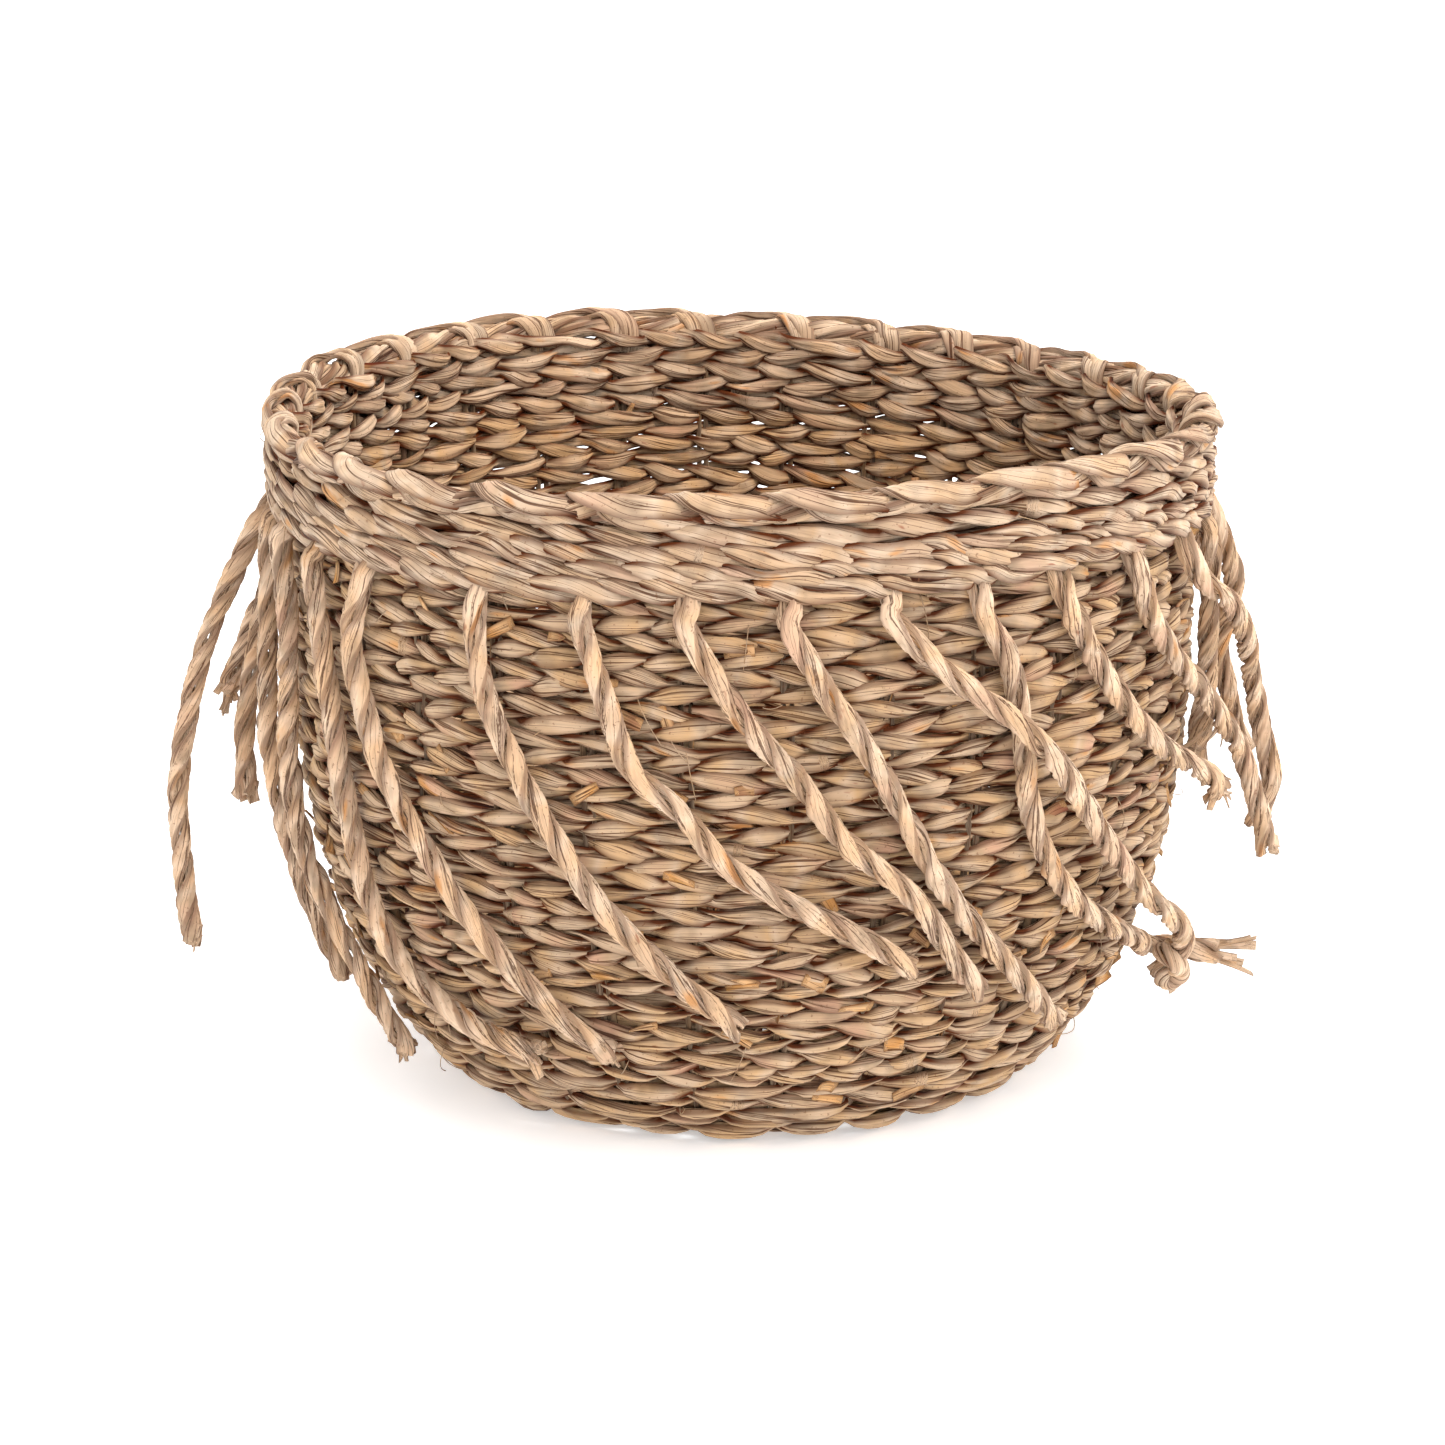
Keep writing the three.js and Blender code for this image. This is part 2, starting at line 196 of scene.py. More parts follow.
def lay_strands(name, strands, outline, seed, spin=0.05):
    """One mesh of several strands. Each holds its points in millimetres, and may hold
    widths, the direction its thin side faces, a further tilt, how far it is tucked
    under another, and whether it closes."""
    rng = np.random.default_rng(seed)
    data = bpy.data.curves.new(name, "CURVE")
    data.dimensions = "3D"
    data.twist_mode = "Z_UP"
    data.bevel_mode = "OBJECT"
    data.bevel_object = outline
    data.use_fill_caps = True
    for strand in strands:
        points = np.asarray(strand["points"], float)
        count = len(points)
        tilt = np.broadcast_to(strand.get("tilt", 0.0), count).astype(float)
        if "face" in strand:
            face = np.broadcast_to(strand["face"], (count, 3))
            tilt = tilt + tilt_towards(points, face, strand.get("closed", False))
        spline = data.splines.new("POLY")
        spline.points.add(count - 1)
        spline.points.foreach_set("co", np.column_stack([points * MM, np.ones(count)]).ravel())
        width = np.broadcast_to(strand.get("width", 1.0), count).astype(float)
        spline.points.foreach_set("radius", width)
        spline.points.foreach_set("tilt", tilt)
        spline.use_cyclic_u = strand.get("closed", False)
    curve = bpy.data.objects.new(name + "_curve", data)
    bpy.context.collection.objects.link(curve)
    ready = curve.evaluated_get(bpy.context.evaluated_depsgraph_get())
    mesh = bpy.data.meshes.new_from_object(ready)
    bpy.data.objects.remove(curve)
    bpy.data.curves.remove(data)
    mesh.name = name
    mesh.materials.clear()

    around = outline["points"]
    turn = 2 * math.pi * np.arange(around) / around
    caps, sides = [], []
    for strand in strands:
        points = np.asarray(strand["points"], float)
        along = np.concatenate([[0], np.cumsum(np.linalg.norm(np.diff(points, axis=0), axis=1))])
        angle = turn[None, :] + spin * along[:, None] + rng.uniform(0, 6.3)
        tuck = np.broadcast_to(strand.get("tuck", 0.0), len(points))
        # The fourth value is painted shade: it grows towards the sides of the section and with the tuck.
        block = np.stack([np.cos(angle), np.sin(angle),
                          np.broadcast_to(0.1 * along[:, None], angle.shape),
                          0.8 * np.abs(np.sin(turn))[None, :] + 0.5 * tuck[:, None]], axis=-1)
        block[..., 0] += rng.uniform(-40, 40)
        block[..., 2] += rng.uniform(0, 900)
        sides.append(block.reshape(-1, 4))
        if not strand.get("closed", False):
            caps += [block[-1], block[0]]
    values = np.vstack(caps + sides)
    assert len(values) == len(mesh.vertices), name
    grain = mesh.attributes.new("grain", "FLOAT_VECTOR", "POINT")
    grain.data.foreach_set("vector", values[:, :3].ravel())
    # This attribute carries painted shade, not a colour of the leaf.
    fold = mesh.attributes.new("fold", "FLOAT", "POINT")
    fold.data.foreach_set("value", values[:, 3].copy())

    solid = bmesh.new()
    solid.from_mesh(mesh)
    bmesh.ops.remove_doubles(solid, verts=solid.verts, dist=1e-7)
    if caps:
        bmesh.ops.recalc_face_normals(solid, faces=solid.faces)
    if solid.calc_volume(signed=True) < 0:
        bmesh.ops.reverse_faces(solid, faces=solid.faces)
    solid.to_mesh(mesh)
    solid.free()
    mesh.polygons.foreach_set("use_smooth", np.ones(len(mesh.polygons), bool))
    piece = bpy.data.objects.new(name, mesh)
    bpy.context.collection.objects.link(piece)
    return piece


CREASES = [
    [(0.35, 0.40, 0.26), (1.25, 0.16, 0.30), (2.6, 0.28, 0.32), (3.9, 0.36, 0.28), (5.6, 0.32, 0.26)],
    [(-0.3, 0.38, 0.26), (0.95, 0.30, 0.26), (2.2, 0.24, 0.32), (3.3, 0.38, 0.26), (4.4, 0.20, 0.30)],
    [(0.0, 0.34, 0.28), (0.75, 0.30, 0.24), (2.9, 0.36, 0.28), (4.1, 0.24, 0.28), (5.8, 0.24, 0.28)],
]
weft_sections = [section(f"weft_section_{k}", 2.6, 1.5, CREASES[k]) for k in range(3)]
band_sections = [section(f"band_section_{k}", 2.7, 1.6, CREASES[k]) for k in range(3)]
ply_section = section("ply_section", 2.95, 1.85, CREASES[0])
print("sections ready")

# %% [markdown]
# ## Fringe cords
#
# Each cord is two strands laid round one another, one turn in CORD_PITCH, and comes
# out from under the band. A soft fibre cord keeps the bend it dried with, so each one
# follows its own list of places, the same as in the CAD model:
# [degrees round from the front, height, distance of its centre off the wall], in
# degrees and millimetres. Only the first place differs: here the root is led up
# behind the band through ROOT_PLACES. The strands drawn here are thinner than the
# CAD tubes and reach 7.2 mm across.

# %%
CORD_PITCH = 33.0
CORD_ROUTES = [
    [[-6, 183.5, 5], [-6, 176, 5], [-3, 162, 5], [2, 144, 5], [7, 129, 5],
     [12, 111, 5.5], [20, 93, 6], [26, 72, 6], [31, 57, 6.5]],
    [[5.5, 183.5, 5], [5.5, 176, 5], [9, 159, 5], [13, 144, 5], [18, 121, 5],
     [23, 98, 5.5], [30, 76, 6], [38, 56, 7], [47, 37, 8]],
    [[17, 183.5, 5], [17, 177, 5], [23, 161, 6.5], [30, 146, 13], [35, 133, 15],
     [42, 113, 9], [49, 94, 8], [58, 74, 10], [67, 58, 16], [72.5, 46, 18.5], [74, 34, 16]],
    [[28, 183.5, 5], [28, 176, 5], [31, 163, 5], [33, 146, 5], [34, 130, 5],
     [35.5, 112, 5], [39, 95, 5.5], [45, 79, 5.5], [55, 64, 5.5], [67, 51, 5.5],
     [75, 43, 6], [79, 40, 16], [80, 38, 31]],
    [[39.5, 183.5, 5], [39.5, 176, 5], [43, 162, 5], [47, 148, 5], [52, 135, 5.5],
     [58, 122, 7], [66, 111, 9], [72, 103, 12], [76, 95, 14]],
    [[53, 183.5, 5], [53, 176, 5], [55, 165, 5], [61, 149, 5.5], [70, 132, 7],
     [78, 115, 13], [82, 104, 18], [83, 91, 24], [83, 79, 30], [82, 70, 34]],
    [[66, 183.5, 5], [66, 177, 5], [70, 166, 7], [76, 156, 12.5], [81, 143, 16],
     [86, 132, 18], [89, 120, 21], [91, 107, 25], [92, 95, 30], [92.5, 83, 34], [92, 70, 32]],
    [[77, 183.5, 5], [77, 177, 5], [79, 162, 5], [80, 145, 5], [81, 130, 5],
     [80, 115, 5], [78, 106, 5]],
    [[88, 183.5, 5], [88, 177, 5], [91, 165, 10], [94, 152, 15], [96, 140, 15],
     [97, 126, 13], [98, 112, 18], [99, 100, 22]],
    [[99, 183.5, 5], [99, 176, 5], [101, 161, 5], [104, 144, 5], [108, 126, 5],
     [113, 108, 5.5], [118, 92, 6], [123, 78, 6.5]],
    [[110, 183.5, 5], [110, 176, 5], [112, 160, 5], [116, 142, 5], [120, 122, 5],
     [125, 102, 5.5], [131, 82, 6], [139, 64, 6], [147, 50, 6.5]],
    [[121, 183.5, 5], [121, 176, 5], [123, 158, 5], [126, 139, 5], [130, 119, 5],
     [136, 98, 5.5], [143, 78, 6], [151, 60, 6.5], [158, 47, 7]],
    [[133, 183.5, 5], [133, 176, 5], [134, 160, 5], [137, 143, 5], [142, 124, 5],
     [148, 106, 5.5], [154, 90, 6], [160, 76, 6], [165, 64, 6.5]],
    [[145, 183.5, 5], [145, 176, 5], [147, 162, 5], [151, 145, 5], [155, 125, 5],
     [160, 104, 5.5], [166, 84, 6], [172, 66, 6], [178, 50, 6.5], [184, 38, 7]],
    [[157, 183.5, 5], [157, 176, 5], [158, 158, 5], [161, 138, 5], [166, 117, 5],
     [173, 97, 5.5], [181, 78, 6], [190, 61, 6.5], [198, 49, 7]],
    [[169, 183.5, 5], [169, 176, 5], [171, 160, 5], [176, 142, 5], [181, 123, 5],
     [186, 102, 5.5], [192, 83, 6], [199, 66, 6.5], [206, 52, 7]],
    [[180, 183.5, 5], [180, 176, 5], [182, 158, 5], [186, 138, 5], [191, 117, 5],
     [197, 95, 5.5], [204, 74, 6], [212, 57, 6.5], [221, 43, 7]],
    [[192, 183.5, 5], [192, 176, 5], [193, 160, 5], [196, 141, 5], [200, 121, 5],
     [206, 101, 5.5], [212, 84, 6], [218, 70, 6.5]],
    [[204, 183.5, 5], [204, 176, 5], [205, 158, 5], [208, 137, 5], [213, 116, 5],
     [219, 94, 5.5], [226, 73, 6], [234, 55, 6.5], [242, 42, 7]],
    [[216, 183.5, 5], [216, 176, 5], [218, 161, 5], [222, 143, 5], [226, 122, 5],
     [231, 101, 5.5], [238, 80, 6], [246, 62, 6.5], [253, 50, 7]],
    [[229, 183.5, 5], [229, 176, 5], [230, 159, 5], [233, 140, 5], [237, 119, 5],
     [242, 98, 5.5], [249, 79, 6], [256, 63, 6.5]],
    [[-119, 183.5, 5], [-119, 177, 6], [-116, 163, 12], [-112, 146, 20],
     [-109, 125, 29], [-107, 104, 37]],
    [[-107, 183.5, 5], [-107, 177, 6], [-105, 160, 11], [-103, 140, 16],
     [-101, 118, 20], [-99.5, 95, 25], [-98.5, 75, 28]],
    [[-95, 183.5, 5], [-95, 178, 6], [-94.5, 165, 14], [-94, 139, 26], [-93.5, 120, 33],
     [-93, 93, 42], [-92.5, 77, 46], [-92, 56, 51], [-92, 30, 60]],
    [[-83, 183.5, 5], [-83, 176, 5], [-82, 155, 6], [-81, 136, 7], [-81, 110, 9],
     [-81, 85, 9], [-80, 60, 9], [-79, 42, 9], [-78, 30, 9]],
    [[-71, 183.5, 5], [-71, 176, 5], [-69, 155, 5], [-70, 135, 5], [-73, 110, 5.5],
     [-74, 88, 6], [-71, 68, 6], [-64, 48, 6.5], [-62, 30, 7], [-63, 15, 8]],
    [[-60, 183.5, 5], [-60, 176, 5], [-58, 155, 5], [-56, 132, 5], [-54, 105, 5.5],
     [-52, 76, 6], [-48, 55, 6], [-38, 41, 6.5], [-28, 36, 7]],
    [[-49, 183.5, 5], [-49, 176, 5], [-51, 161, 5], [-50, 146, 5], [-46, 121, 5],
     [-40, 101, 5.5], [-33, 77, 6], [-24, 53, 6], [-17, 39, 6.5]],
    [[-31, 183.5, 5], [-31, 176, 5], [-31, 164, 5], [-29.5, 149, 5], [-26.5, 133, 5],
     [-22, 113, 5.5], [-17, 93, 6], [-11, 76, 6], [-5, 62, 6], [0, 51, 6.5]],
    [[-18, 183.5, 5], [-18, 176, 5], [-16.5, 164, 5], [-14.5, 149, 5], [-12, 133, 5],
     [-7, 122, 5], [-2, 106, 5], [3, 97, 5.5], [8, 90, 6], [14, 81, 6], [21, 69, 6.5]],
]


def cord_place(place):
    """One place of a cord's list as a point, in millimetres."""
    degrees, height, off = place
    around = math.radians(degrees)
    radius = float(outer_radius(height)) + off
    return np.array([radius * math.sin(around), -radius * math.cos(around), height])


def smooth_route(points, step):
    """A smooth curve through the points, cut into even steps."""
    ends = [2 * points[0] - points[1], *points, 2 * points[-1] - points[-2]]
    fine = []
    for a, b, c, d in zip(ends, ends[1:], ends[2:], ends[3:]):
        for t in np.linspace(0, 1, 24, endpoint=False):
            fine.append(b + 0.5 * t * (c - a) + t * t * (a - 2.5 * b + 2 * c - 0.5 * d)
                        + t**3 * (-0.5 * a + 1.5 * b - 1.5 * c + 0.5 * d))
    fine = np.array([*fine, points[-1]])
    run = np.concatenate([[0], np.cumsum(np.linalg.norm(np.diff(fine, axis=0), axis=1))])
    even = np.linspace(0, run[-1], max(2, round(run[-1] / step)) + 1)
    return np.column_stack([np.interp(even, run, fine[:, k]) for k in range(3)]), run[-1]


def frames_along(route):
    """Two directions square to the route at each point, carried along without twist."""
    way = np.gradient(route, axis=0)
    way /= np.linalg.norm(way, axis=1)[:, None]
    side = np.cross(way[0], [0.0, 0.0, 1.0])
    if np.linalg.norm(side) < 0.1:
        side = np.cross(way[0], [1.0, 0.0, 0.0])
    sides = []
    for w in way:
        side = side - w * np.dot(side, w)
        side = side / np.linalg.norm(side)
        sides.append(side)
    sides = np.array(sides)
    return sides, np.cross(way, sides)


def laid_strands(route, length, pitch, offset, seed, loosen=0.0, first=0.0):
    """Two strands laid round a route. They start side by side, as the folded stakes
    they are made from, and part a little over the last stretch."""
    rng = np.random.default_rng(seed)
    along = np.linspace(0, length, len(route))
    laid = along - 9 * (1 - np.exp(-along / 9))
    sides, ups = frames_along(route)
    drift = smooth_noise(rng, len(route), max(3, int(length / 30)), 0.45, False)
    part = offset * (1 + loosen * np.clip((along - length + 14) / 14, 0, 1) ** 2)
    strands = []
    for k in range(2):
        turn = first + 2 * math.pi * laid / pitch + drift + math.pi * k
        face = np.cos(turn)[:, None] * sides + np.sin(turn)[:, None] * ups
        width = 1 + smooth_noise(rng, len(route), max(4, int(length / 11)), 0.08, False)
        strands.append({"points": route + part[:, None] * face, "width": width, "face": face,
                        "tilt": smooth_noise(rng, len(route), max(3, int(length / 20)), 0.2, False)})
    return strands


ROOT_PLACES = [(6.5, -2.0), (2.0, 0.2), (-3.0, 3.2)]  # above the first place, off the wall
STRAND_OFFSET = 1.75
ROUTE_STEP = 1.4
cords = []
cord_ends = []
for number, places in enumerate(CORD_ROUTES, 1):
    at, top = places[0][0], places[0][1]
    tucked = [[at, top + rise, off] for rise, off in ROOT_PLACES]
    route, length = smooth_route([cord_place(p) for p in [*tucked, *places[1:]]], ROUTE_STEP)
    strands = laid_strands(route, length, CORD_PITCH, STRAND_OFFSET, 100 + number,
                           loosen=0.25, first=0.5 * math.sin(2.4 * number))
    piece = lay_strands(f"cord_{number:02d}", strands, ply_section, 200 + number, spin=-0.12)
    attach(piece, "root")
    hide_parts(f"fringe_cord_{number:02d}")
    cords.append({"piece": piece, "route": route, "length": length, "strands": strands})
print(len(cords), "cords,", round(sum(c["length"] for c in cords)), "mm in all")

# %% [markdown]
# ## Cut ends of the cords
#
# The cords are cut off and left. Each strand opens at the cut into a few flat strips
# of leaf that spring apart. They are thin strands with a flat section, started
# inside the cord so that they grow out of it.

# %%
strip_section = section("strip_section", 1.9, 0.5, [(0.0, 0.25, 0.5)], points=8, wobble=0.1)
# How each cord ends, where it is not a plain cut.
END_STYLES = {3: "tail", 4: "splayed", 5: "frayed", 6: "wrapped", 8: "frayed", 9: "splayed",
              22: "frayed", 23: "broad", 24: "broad", 26: "broad", 27: "broad", 28: "broad"}
# Strips from each strand, their length in millimetres, and how far they spread.
STYLE_SIZES = {"cut": (3, 5.0, 0.16), "splayed": (4, 19.0, 0.17), "frayed": (5, 12.0, 0.26),
               "tail": (3, 7.0, 0.2), "wrapped": (3, 5.0, 0.12), "broad": (4, 8.0, 0.2)}
for number, cord in enumerate(cords, 1):
    rng = np.random.default_rng(400 + number)
    count, reach, spread = STYLE_SIZES[END_STYLES.get(number, "cut")]
    strips = []
    for strand in cord["strands"]:
        points = strand["points"]
        way = points[-1] - points[-5]
        way /= np.linalg.norm(way)
        for _ in range(count):
            lean = rng.normal(0, spread, 3)
            lean -= way * np.dot(lean, way)
            curl = rng.normal(0, spread * 0.6, 3)
            size = reach * rng.uniform(0.5, 1.1)
            begin = points[-5] + rng.normal(0, 0.6, 3)
            t = np.linspace(0, 1, 8)[:, None]
            line = begin + size * (t * (1.1 * way + 0.3 * lean) + t**2 * lean * 0.7
                                   + t**3 * curl * 0.5)
            line[:, 2] += max(0, 2 - line[:, 2].min())
            strips.append({"points": line, "width": rng.uniform(0.65, 1.15) * np.linspace(1, 0.85, 8),
                           "tilt": rng.uniform(0, 3.1) + rng.normal(0, 0.5) * t[:, 0]})
    ends = lay_strands(f"cord_end_{number:02d}", strips, strip_section, 500 + number)
    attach(ends, "root")
    cord_ends.append(ends)
print(len(cord_ends), "cut ends")

# %% [markdown]
# ## The knot
#
# One cord at the right ends in a simple overhand knot with a short tail. The knot is
# the same two-ply cord led round the closed line of an overhand knot, drawn tight.

# %%
KNOT_SIZE = 2.5
KNOT_TURNS = 3
knot_cord = cords[2]
knot_centre = knot_cord["route"][-6]
t = np.linspace(0, 2 * math.pi, 90, endpoint=False)
loop = np.column_stack([np.sin(t) + 1.6 * np.sin(2 * t), -1.1 * np.sin(3 * t),
                        np.cos(t) - 1.6 * np.cos(2 * t)])
facing = math.radians(CORD_ROUTES[2][-1][0])
turned = np.column_stack([loop[:, 0] * math.cos(facing) + loop[:, 1] * math.sin(facing),
                          loop[:, 0] * math.sin(facing) - loop[:, 1] * math.cos(facing), loop[:, 2]])
knot_line = knot_centre + KNOT_SIZE * turned
knot_sides, knot_ups = frames_along(np.vstack([knot_line, knot_line[:1]]))
knot_strands = []
for k in range(2):
    turn = KNOT_TURNS * t + math.pi * k
    face = np.cos(turn)[:, None] * knot_sides[:-1] + np.sin(turn)[:, None] * knot_ups[:-1]
    knot_strands.append({"points": knot_line + 1.6 * face, "width": 0.86, "face": face, "closed": True})
knot = lay_strands("cord_03_knot", knot_strands, ply_section, 61)
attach(knot, "root")
print("knot of", len(knot.data.polygons), "faces")

# %% [markdown]

# %%
print("cords, cut ends and knot made")

# %% [markdown]
# ## The line of the wall
#
# The weave is one layer of rows from the middle of the base, round the foot and up
# the wall. Its middle line is the outside of the wall moved in by half its
# thickness, and rows are spaced along that line by the length they take up.

# %%
heights = np.concatenate([np.linspace(0, 6, 60, endpoint=False) ** 2 / 6, np.linspace(6, 214, 400)])
outside = np.column_stack([outer_radius(heights), heights])
run = np.gradient(outside, axis=0)
run /= np.linalg.norm(run, axis=1)[:, None]
normals = np.column_stack([run[:, 1], -run[:, 0]])
middle = outside - normals * WALL_THICK / 2
wall_run = np.concatenate([[0], np.cumsum(np.linalg.norm(np.diff(middle, axis=0), axis=1))])


def wall_at(distance):
    """Radius, height and outward direction of the wall's middle line."""
    return [float(np.interp(distance, wall_run, column))
            for column in (middle[:, 0], middle[:, 1], normals[:, 0], normals[:, 1])]


def wall_at_height(height):
    """The same, found by height."""
    return wall_at(float(np.interp(height, middle[:, 1], wall_run)))


WALL_LENGTH = float(np.interp(BAND_BOTTOM - 1, middle[:, 1], wall_run))
ROW_PITCH = 5.15
WALL_ROWS = round(WALL_LENGTH / ROW_PITCH)
print(f"wall line {WALL_LENGTH:.0f} mm, {WALL_ROWS} rows")

# %% [markdown]
# ## Twining a row
#
# In twining, two strands pass on either side of a pair of stakes and cross between
# them. Each strand swings from the outside of the wall to the inside once in each
# stitch, and from the top of the row to the bottom, and the other does the opposite.
# Where the swing is widest, one strand is outside and the other inside. The outer one
# also lies a little above the inner one, which closes the chink to the next row.
# Three-strand rows take turns in the same way. Stitches are made uneven by a seeded
# drift, as a hand makes them. Stitch counts are chosen for the look and don't follow
# the number of stakes. Strands are a little wider than the rows are apart, so
# neighbouring rows run into one another slightly.

# %%
STEPS_PER_STITCH = 7
FLOOR_EASE = 1.9  # strands whose middle is lower than this are flattened towards it


def ring_points(radius, angle, height):
    """Points round the basket from radii, angles from the front and heights."""
    return np.column_stack([radius * np.sin(angle), -radius * np.cos(angle),
                            np.broadcast_to(height, angle.shape)])


def twined_row(name, radius, height, normal, stitches, swing, rise, slant, outline, seed,
               strand_count=2, width=1.0, lift=0.85, sway=None, node=()):
    """One closed row of twining strands, two or three of them."""
    rng = np.random.default_rng(seed)
    count = stitches * STEPS_PER_STITCH
    angle = rng.uniform(0, 2 * math.pi) + 2 * math.pi * np.arange(count) / count
    out_r, out_z = normal
    up_r, up_z = -out_z, out_r
    slip = rng.uniform(0, 6.3) + smooth_noise(rng, count, stitches, 0.55, True)
    wander = smooth_noise(rng, count, max(6, stitches // 3), 0.5, True)
    strands = []
    for k in range(strand_count):
        phase = 2 * math.pi / strand_count * (stitches * angle / (2 * math.pi) + k) + slip
        c, s = np.cos(phase), np.sin(phase)
        # tuck grows from the middle of a stitch to where the strand goes behind; it only darkens the strand
        # there, as painted shade.
        if strand_count == 2:
            out = swing * np.tanh(1.7 * c) / math.tanh(1.7)
            up = slant * rise * 2 / math.pi * np.arcsin(0.97 * s) + lift * c
            thin = width * (0.60 + 0.46 * np.abs(c) ** 0.9)
            tuck = (1 - np.abs(c)) ** 1.5
        else:
            shown = np.clip((c + 0.4) / 1.4, 0, 1)
            out = swing * np.tanh(2.2 * (c + 0.35)) - 0.8 * s
            up = slant * rise * s
            thin = width * (0.55 + 0.48 * shown**0.6)
            tuck = (1 - shown) ** 1.3
        out = out + smooth_noise(rng, count, stitches, 0.4, True)
        up = up + wander + smooth_noise(rng, count, stitches, 0.45, True)
        thin = thin + smooth_noise(rng, count, stitches, 0.13, True)
        z = height + out * out_z + up * up_z
        z = np.maximum(z, FLOOR_EASE + 0.3 * (z - FLOOR_EASE))
        if sway is not None:
            z = z + sway(angle, height)
        points = ring_points(radius + out * out_r + up * up_r, angle, z)
        face = ring_points(out_r, angle, out_z)
        strands.append({"points": points, "width": thin, "face": face, "closed": True, "tuck": tuck,
                        "tilt": smooth_noise(rng, count, stitches, 0.32, True)})
    row = lay_strands(name, strands, outline, seed + 5000)
    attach(row, "root")
    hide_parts(*node)
    return row


LOW_RADIUS = 112  # inside this radius, near the foot, stitches are longer and strands wider
LOW_STITCHES = 26
rows = []
rng = np.random.default_rng(51)
for k in range(WALL_ROWS):
    radius, height, out_r, out_z = wall_at((k + (0.42 if k else 0.6)) * WALL_LENGTH / WALL_ROWS)
    low = radius < LOW_RADIUS
    course = COURSES[min(4, sum(height > top for top in COURSE_TOPS))]
    stitches = LOW_STITCHES if low else 2 * int(rng.integers(21, 25))
    rows.append(twined_row(
        f"wall_row_{k + 1:02d}", radius, height, (out_r, out_z), stitches,
        swing=2.5, rise=rng.uniform(1.3, 1.9), slant=1 if k % 2 else -1,
        outline=weft_sections[k % 3], seed=1000 + k, width=1.1 if low else 1.04,
        sway=rim_sway, node=[course]))
print(len(rows), "wall rows,", sum(len(r.data.polygons) for r in rows), "faces")

# %% [markdown]
# ## Base rounds
#
# The base is twined too, on the same stakes, from the middle outwards. Fewer stakes
# cross the middle, so the stitches there span a larger angle.

# %%
BASE_MIDDLE = BASE_TOP / 2 + 0.9
base_rows = []
FIRST_ROUND, BASE_ROUNDS = 6.5, 15
last_round = wall_at(0.6 * WALL_LENGTH / WALL_ROWS)[0] - 5.0
for k in range(BASE_ROUNDS):
    radius = FIRST_ROUND + (last_round - FIRST_ROUND) * k / (BASE_ROUNDS - 1)
    stitches = 6 if radius < 10 else 12 if radius < 33 else 24 if radius < 60 else 34
    under = "centre" if radius < CENTRE_RADIUS else "rounds"
    base_rows.append(twined_row(
        f"base_round_{k + 1:02d}", radius, BASE_MIDDLE, (0.0, -1.0), stitches,
        swing=1.9, rise=1.6, slant=1 if k % 2 else -1, outline=weft_sections[k % 3],
        seed=1400 + k, width=1.0 if k else 0.8, node=[f"base_under_{under}", f"base_inside_{under}"]))
print(len(base_rows), "base rounds")

# %% [markdown]
# ## Rim band
#
# The wall goes on up behind the band. Outside it, four rows set close together hold
# the folded ends of the stakes. Three strands take turns in the lower three, each
# passing in front for longer than behind, so the stitches show longer and flatter.
# The top row has two thicker strands. All four slant the same way.

# %%
BACK_ROWS, BACK_PITCH, BACK_STITCHES = 5, 5.1, 46
# Height above the bottom of the band, stitches, strands, and width of a strand.
FRONT_ROWS = [(2.7, 57, 3, 1.0), (8.0, 54, 3, 1.0), (13.1, 57, 3, 1.0), (18.9, 36, 2, 1.3)]
bands = []
for k in range(BACK_ROWS):
    height = BAND_BOTTOM + 1.6 + BACK_PITCH * k
    bands.append(twined_row(
        f"band_back_row_{k + 1}", WALL_RADIUS - WALL_THICK / 2 - 0.4, height, (1.0, 0.0),
        BACK_STITCHES, swing=2.4, rise=1.6, slant=1 if k % 2 else -1,
        outline=weft_sections[k % 3], seed=1650 + k, sway=rim_sway,
        node=[f"rim_band_{1 if height < BAND_BOTTOM + 11 else 2}"]))
for k, (rise_to, stitches, strand_count, width) in enumerate(FRONT_ROWS):
    bands.append(twined_row(
        f"band_row_{k + 1}", BAND_RADIUS - (4.5 if strand_count == 3 else 5.2), BAND_BOTTOM + rise_to,
        (1.0, 0.0), stitches, swing=2.1, rise=2.0, slant=-1, outline=band_sections[k % 3],
        seed=1600 + k, strand_count=strand_count, width=width, lift=0.3,
        sway=rim_sway, node=[f"rim_band_{1 + k // 2}"]))
print(len(bands), "rows in the band")

# %% [markdown]
# ## Border
#
# Two strands run along the top edge in a slow twist. Over them each pair of stakes
# comes up inside, arches over the edge, lies along the outside towards the next pair
# and goes in behind it. Each fold is a broad leaf bundle and a narrower one next to
# it, led through a few places: [along the edge, outwards, up], in millimetres.

# %%
BORDER_TURNS = 18
STEPS_PER_PAIR = 20
border_section = section("border_section", 3.3, 2.3, CREASES[1])
border_radius = BAND_RADIUS - 5.8
border_height = (BORDER_BOTTOM + BORDER_TOP) / 2
rng = np.random.default_rng(71)
count = STAKE_PAIRS * STEPS_PER_PAIR
angle = 2 * math.pi * np.arange(count) / count
twist_drift = smooth_noise(rng, count, 30, 0.35, True)
border_strands = []
for k in range(2):
    turn = math.pi * k + BORDER_TURNS * angle + twist_drift
    out = 2.2 * np.cos(turn) + smooth_noise(rng, count, 60, 0.4, True)
    up = 1.4 * np.sin(turn) - 1.0 + rim_sway(angle, BORDER_TOP) + smooth_noise(rng, count, 60, 0.4, True)
    face = np.column_stack([np.cos(turn) * np.sin(angle), -np.cos(turn) * np.cos(angle), np.sin(turn)])
    # The constant tuck of 0.2 darkens the border strands a little more at their sides, as painted shade.
    border_strands.append({"points": ring_points(border_radius + out, angle, border_height + up),
                           "width": 1.0 + smooth_noise(rng, count, 60, 0.07, True),
                           "tuck": 0.2, "face": face, "closed": True})
border = lay_strands("border_strands", border_strands, border_section, 72)

